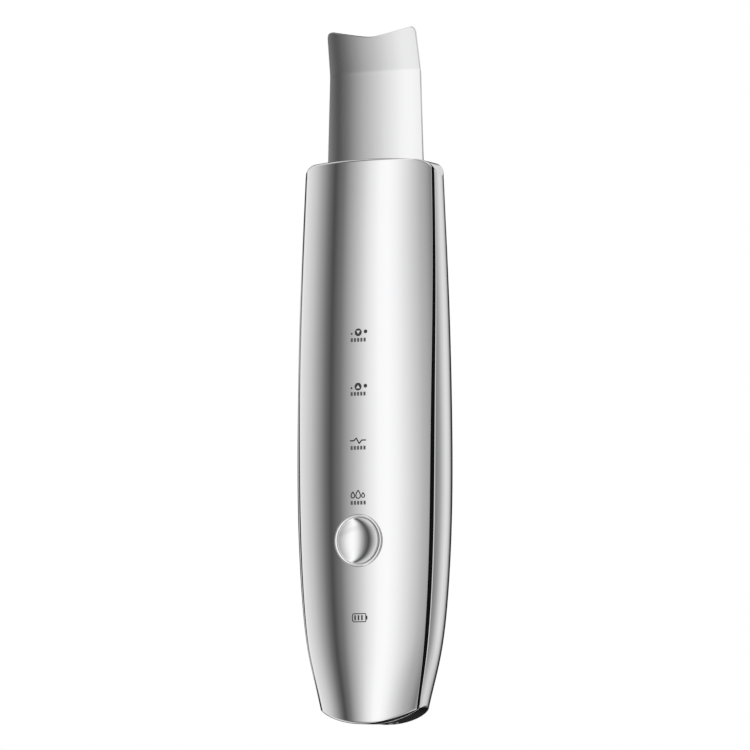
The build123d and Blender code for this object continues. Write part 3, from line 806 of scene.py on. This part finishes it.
def blade_mesh():
    """The crowned sheet with its bend, notched tip and lightly eased edges."""
    cols, rows = 61, 91
    ease = 0.12
    across = np.sin(np.linspace(-math.pi / 2, math.pi / 2, cols))
    across = 0.5 * across + 0.5 * np.linspace(-1, 1, cols)
    along = np.linspace(0, 1, rows)

    def tip_height(x):
        """Height of the notched tip, with rounded corners."""
        half = BLADE_HALF[2, 1]
        u = np.abs(x) / half
        notch = 2.0 * (1 - np.sqrt(u * u + 0.03)) / (1 - math.sqrt(0.03))
        past = np.clip(np.abs(x) - (half - 1.5), 0, 1.499)
        return BLADE_TIP - np.clip(notch, 0, None) - (1.5 - np.sqrt(1.5 ** 2 - past ** 2))

    def sheet(inset):
        x_tip = across * (BLADE_HALF[2, 1] - inset)
        top = tip_height(x_tip * BLADE_HALF[2, 1] / (BLADE_HALF[2, 1] - inset)) - inset
        z = BLADE_BASE + (top[None, :] - BLADE_BASE) * along[:, None]
        x = across[None, :] * (np.interp(z, BLADE_HALF[:, 0], BLADE_HALF[:, 1]) - inset)
        return x, z

    lean = math.tan(math.radians(BLADE_ANGLE))
    soft = 0.25
    flat, curl = BLADE_CROWN

    def middle(x, z):
        """Depth of the sheet's middle surface and its normal towards the front."""
        u = (z - BLADE_BEND) / soft
        bend = soft * np.log1p(np.exp(np.clip(u, -40, 40)))
        slope = 1 / (1 + np.exp(-np.clip(u, -40, 40)))
        y = -lean * bend + x * x / (2 * flat) + curl * x ** 4 / 4
        n = unit(np.stack([x / flat + curl * x ** 3, -np.ones_like(x), -lean * slope], -1))
        return y, n

    x0, z0 = sheet(ease)
    y0, n0 = middle(x0, z0)
    base = np.stack([x0, y0, z0], -1)
    half = BLADE_THICK / 2
    x1, z1 = sheet(0.0)
    y1, n1 = middle(x1, z1)
    edge = np.stack([x1, y1, z1], -1)
    loop = rim(rows, cols)
    flat_base, flat_n, flat_edge = base.reshape(-1, 3), n0.reshape(-1, 3), edge.reshape(-1, 3)
    out = unit(flat_edge[loop] - flat_base[loop])
    layers = [
        (flat_base + flat_n * half, flat_n),
        (flat_base - flat_n * half, -flat_n),
        (flat_edge[loop] + flat_n[loop] * (half - ease), out),
        (flat_edge[loop] - flat_n[loop] * (half - ease), out),
    ]
    verts = np.concatenate([p for p, _ in layers])
    normals = np.concatenate([n for _, n in layers])
    count, ring_size = rows * cols, len(loop)
    faces = grid_faces(rows, cols, 0) + grid_faces(rows, cols, count, True)
    front, back = 2 * count, 2 * count + ring_size
    for i in range(ring_size):
        j = (i + 1) % ring_size
        faces.append((loop[j], loop[i], front + i, front + j))
        faces.append((front + j, front + i, back + i, back + j))
        faces.append((back + j, back + i, count + loop[i], count + loop[j]))
    return mesh_piece("blade_sheet", verts, faces, normals)


place(blade_mesh(), "blade_steel", "handle", "blade")

# ---------------------------------------------------------------- marks on the cover

class Marks:
    """Flat marks gathered into one thin piece that lies on the front of the cover."""

    def __init__(self, name, proud):
        self.name, self.proud = name, proud
        self.points, self.faces = [], []

    def sheet(self, grid):
        """A grid of (x, z) places."""
        rows, cols = grid.shape[:2]
        self.faces += grid_faces(rows, cols, len(self.points))
        self.points += list(grid.reshape(-1, 2))

    def bar(self, x0, x1, z0, z1):
        xs = np.linspace(x0, x1, 2 + int((x1 - x0) / 0.3))
        zs = np.linspace(z0, z1, 2 + int((z1 - z0) / 0.3))
        self.sheet(np.stack(np.meshgrid(xs, zs), -1))

    def disc(self, x, z, radius, hole=0.0):
        turn = np.linspace(0, 2 * math.pi, 41)
        reach = np.linspace(radius, hole, 4)[:, None]
        self.sheet(np.stack([x + reach * np.cos(turn), z + reach * np.sin(turn)], -1))

    def wedge(self, x, z, half, tall):
        """A triangle that points up, or down when it is less than nothing tall."""
        rise = np.linspace(-0.5, 0.5, 4)[:, None]
        across = np.linspace(-1, 1, 4)[None, :] * (0.5 - rise)
        self.sheet(np.stack([x + half * across * np.sign(tall), z + tall * rise + 0 * across], -1))

    def stroke(self, path, width):
        """A line of even width through places; it closes when it ends where it began."""
        path = np.asarray(path, float)
        steps = [np.linspace(a, b, 2 + int(np.hypot(*(b - a)) / 0.25))[:-1] for a, b in zip(path, path[1:])]
        line = np.concatenate(steps + [path[-1:]])
        along = np.gradient(line, axis=0)
        if np.allclose(path[0], path[-1]):
            along[0] = along[-1] = line[1] - line[-2]
        side = unit(along)[:, ::-1] * [-1, 1] * width / 2
        self.sheet(np.stack([line + side, line - side]))

    def piece(self):
        flat = np.array(self.points)
        depth, normal = front_depth(flat[:, 0], flat[:, 1])
        skin_at = np.stack([flat[:, 0], depth, flat[:, 1]], -1)
        count = len(flat)
        verts = np.concatenate([skin_at + normal * self.proud, skin_at - normal * 0.02])
        edges = {}
        for face in self.faces:
            for i, j in zip(face, face[1:] + face[:1]):
                if (j, i) in edges:
                    del edges[(j, i)]
                else:
                    edges[(i, j)] = True
        walls = [(j, i, i + count, j + count) for i, j in edges]
        backs = [tuple(i + count for i in face[::-1]) for face in self.faces]
        normals = np.concatenate([normal, -normal])
        smooth = [True] * len(self.faces) + [False] * (len(walls) + len(backs))
        return mesh_piece(self.name, verts, self.faces + walls + backs, normals, smooth)


def droplet(x, z, half, tall):
    """Outline of a drop: round below, pointed above."""
    turn = np.linspace(0, 2 * math.pi, 25)
    taper = np.sin(turn / 2)
    return np.stack([x - half * np.sin(turn) * taper, z + tall / 2 * np.cos(turn)], -1)


ARROW_Z = (92.5, 79.6)       # heights of the marks' middles
PULSE_Z = 66.8
DROPS_Z = 54.0
BARS_Z = (90.7, 77.9, 65.1, 52.1)
GAUGE_Z = 25.0


def mode_marks():
    """Four mode marks with a row of plain bars under each, and the charge gauge."""
    ink, pale, light = Marks("mode_marks", 0.02), Marks("mode_bars", 0.02), Marks("mode_arrows", 0.03)
    for z, point in zip(ARROW_Z, (-0.8, 0.8)):
        ink.disc(0.0, z, 0.92)
        ink.disc(-1.75, z - 0.3, 0.24)
        ink.disc(1.93, z + 0.15, 0.46)
        light.wedge(0.0, z, 0.52, point)
    z = PULSE_Z
    ink.stroke([(-2.13, z), (-1.1, z), (-0.45, z + 0.62), (0.3, z - 0.72), (0.95, z + 0.1),
                (2.1, z + 0.1)], 0.28)
    for x, half, tall in ((-1.4, 0.62, 1.4), (0.0, 0.78, 1.9), (1.3, 0.5, 1.1)):
        ink.stroke(droplet(x, DROPS_Z + (tall - 1.5) / 4, half, tall), 0.24)
    for z in BARS_Z:
        for x in (-1.7, -0.85, 0.0, 0.85, 1.7):
            pale.bar(x - 0.27, x + 0.27, z - 0.45, z + 0.45)
    z, half, tall = GAUGE_Z, 1.75, 0.95
    ink.stroke([(half, z - tall), (0.3 - half, z - tall), (-half, z - tall + 0.3), (-half, z + tall - 0.3),
                (0.3 - half, z + tall), (half, z + tall), (half, z - tall)], 0.2)
    ink.bar(half + 0.1, half + 0.42, z - 0.45, z + 0.45)
    for x in (-1.05, -0.15, 0.75):
        ink.bar(x - 0.2, x + 0.2, z - 0.6, z + 0.6)
    place(ink.piece(), "black_plastic", "handle")
    place(pale.piece(), "switch_plastic", "handle")
    place(light.piece(), "white_plastic", "handle")


mode_marks()

# ---------------------------------------------------------------- camera

AIM_Z = 0.083
CAMERA_AZIMUTH = 26.5
CAMERA_ELEVATION = -4.8
CAMERA_DISTANCE = 1.2
camera = bpy.data.objects.new("camera", bpy.data.cameras.new("camera"))
bpy.context.scene.collection.objects.link(camera)
camera.data.lens = 242.0
camera.data.sensor_width = 36.0
camera.data.shift_x = 0.001
a, e = math.radians(CAMERA_AZIMUTH), math.radians(CAMERA_ELEVATION)
back = Vector((math.sin(a) * math.cos(e), -math.cos(a) * math.cos(e), math.sin(e)))
camera.location = Vector((0, 0, AIM_Z)) + back * CAMERA_DISTANCE
camera.rotation_mode = "QUATERNION"
camera.rotation_quaternion = (-back).to_track_quat("-Z", "Y")
camera.data.clip_start = 0.01
camera.data.clip_end = 50.0
bpy.context.scene.camera = camera

# ---------------------------------------------------------------- studio

# Brightness of the studio wall round the object, by direction in degrees from the front (-Y) towards
# +X: a large soft light in front, flags beside it, grey wall on the right, black cards behind.
STUDIO = (
    (-180, 0.04), (-121, 0.04), (-114, 0.50), (-109, 0.88), (-104, 0.915), (-98, 0.885), (-90, 0.86),
    (-80, 0.84), (-72, 0.805), (-64, 0.76), (-57, 0.68), (-50, 0.56), (-45, 0.42), (-40.5, 0.28),
    (-35, 0.455), (-30, 0.694), (-25, 0.894), (-20, 0.975), (-15, 0.985), (-8, 0.95), (0, 0.89),
    (12, 0.81), (30, 0.71), (50, 0.64), (76, 0.50), (95, 0.61), (112, 0.765), (132, 0.868),
    (150, 0.835), (160, 0.72), (170, 0.36), (178, 0.05),
)
# what lies above and below the wall, by height of the direction, and how much it hides the wall:
# a bright strip above the dark cards behind, and a faint grey one below
ABOVE_AND_BELOW = ((-0.1, 0.40), (0.12, 0.84))
STRIP_ABOVE = ((0.12, 0.0), (0.36, 1.0))
STRIP_BELOW = ((-0.44, 0.0), (-0.34, 0.12), (-0.22, 0.12), (-0.12, 0.0))
STRIP_BEHIND = ((-180, 1.0), (-168, 1.0), (-158, 0.0), (145, 0.0), (155, 1.0), (180, 1.0))
STUDIO_TURN = 1.5            # degrees by which the whole wall is turned towards +X
CHROME = 0.95                # share of light that the plating throws back


def linear(level):
    """Light that the plating shows as a display brightness."""
    return (((level + 0.055) / 1.055) ** 2.4 if level > 0.04 else level / 12.92) / CHROME


def ramp_of(nodes, stops):
    """A colour ramp from (position, value) pairs."""
    ramp = nodes.new("ShaderNodeValToRGB")
    elements = ramp.color_ramp.elements
    while len(elements) < len(stops):
        elements.new(0.5)
    for element, (position, value) in zip(elements, stops):
        element.position = position
        element.color = (value, value, value, 1)
    return ramp


def studio_world():
    world = bpy.data.worlds.new("studio")
    bpy.context.scene.world = world
    world.use_nodes = True
    nodes, links = world.node_tree.nodes, world.node_tree.links
    nodes.clear()
    coord = nodes.new("ShaderNodeTexCoord")
    split = nodes.new("ShaderNodeSeparateXYZ")
    links.new(coord.outputs["Generated"], split.inputs["Vector"])
    flip = nodes.new("ShaderNodeMath")
    flip.operation = "MULTIPLY"
    flip.inputs[1].default_value = -1.0
    links.new(split.outputs["Y"], flip.inputs[0])
    turn = nodes.new("ShaderNodeMath")
    turn.operation = "ARCTAN2"
    links.new(split.outputs["X"], turn.inputs[0])
    links.new(flip.outputs[0], turn.inputs[1])
    span = nodes.new("ShaderNodeMapRange")
    span.inputs["From Min"].default_value = -math.pi
    span.inputs["From Max"].default_value = math.pi
    links.new(turn.outputs[0], span.inputs["Value"])
    ramp = ramp_of(nodes, [((degrees + 180 + STUDIO_TURN) / 360, linear(level))
                           for degrees, level in STUDIO])
    links.new(span.outputs["Result"], ramp.inputs["Fac"])
    # ceiling and floor of the studio take over away from the level
    height = nodes.new("ShaderNodeMapRange")
    height.inputs["From Min"].default_value = -1.0
    links.new(split.outputs["Z"], height.inputs["Value"])
    lift = ramp_of(nodes, [((z + 1) / 2, linear(level)) for z, level in ABOVE_AND_BELOW])
    above = ramp_of(nodes, [((z + 1) / 2, share) for z, share in STRIP_ABOVE])
    below = ramp_of(nodes, [((z + 1) / 2, share) for z, share in STRIP_BELOW])
    for ramp_by_height in (lift, above, below):
        links.new(height.outputs["Result"], ramp_by_height.inputs["Fac"])
    behind = ramp_of(nodes, [((degrees + 180) / 360, share) for degrees, share in STRIP_BEHIND])
    links.new(span.outputs["Result"], behind.inputs["Fac"])
    hidden = nodes.new("ShaderNodeMath")
    hidden.operation = "MULTIPLY_ADD"
    links.new(above.outputs["Color"], hidden.inputs[0])
    links.new(behind.outputs["Color"], hidden.inputs[1])
    links.new(below.outputs["Color"], hidden.inputs[2])
    mix = nodes.new("ShaderNodeMix")
    mix.data_type = "RGBA"
    links.new(hidden.outputs[0], mix.inputs["Factor"])
    links.new(ramp.outputs["Color"], mix.inputs["A"])
    links.new(lift.outputs["Color"], mix.inputs["B"])
    path = nodes.new("ShaderNodeLightPath")
    seen = nodes.new("ShaderNodeMix")
    seen.data_type = "RGBA"
    seen.inputs["B"].default_value = (1, 1, 1, 1)
    links.new(path.outputs["Is Camera Ray"], seen.inputs["Factor"])
    links.new(mix.outputs["Result"], seen.inputs["A"])
    shine = nodes.new("ShaderNodeBackground")
    links.new(seen.outputs["Result"], shine.inputs["Color"])
    output = nodes.new("ShaderNodeOutputWorld")
    links.new(shine.outputs["Background"], output.inputs["Surface"])


studio_world()


def studio_floor():
    """A plain white sweep under the object, invisible from below and in the metal."""
    size = 3.0
    mesh = bpy.data.meshes.new("floor")
    z = -0.0006
    corners = [(-size, -size, z), (size, -size, z), (size, size, z), (-size, size, z)]
    mesh.from_pydata(corners, [], [(0, 1, 2, 3)])
    floor = bpy.data.objects.new("floor", mesh)
    bpy.context.scene.collection.objects.link(floor)
    material = bpy.data.materials.new("floor_white")
    material.use_nodes = True
    nodes, links = material.node_tree.nodes, material.node_tree.links
    nodes.clear()
    glow = nodes.new("ShaderNodeEmission")
    glow.inputs["Color"].default_value = (1, 1, 1, 1)
    clear = nodes.new("ShaderNodeBsdfTransparent")
    side = nodes.new("ShaderNodeNewGeometry")
    mix = nodes.new("ShaderNodeMixShader")
    links.new(side.outputs["Backfacing"], mix.inputs["Fac"])
    links.new(glow.outputs["Emission"], mix.inputs[1])
    links.new(clear.outputs["BSDF"], mix.inputs[2])
    output = nodes.new("ShaderNodeOutputMaterial")
    links.new(mix.outputs["Shader"], output.inputs["Surface"])
    mesh.materials.append(material)
    floor.visible_glossy = False


studio_floor()

view = bpy.context.scene.view_settings
view.view_transform = "Standard"
view.look = "None"
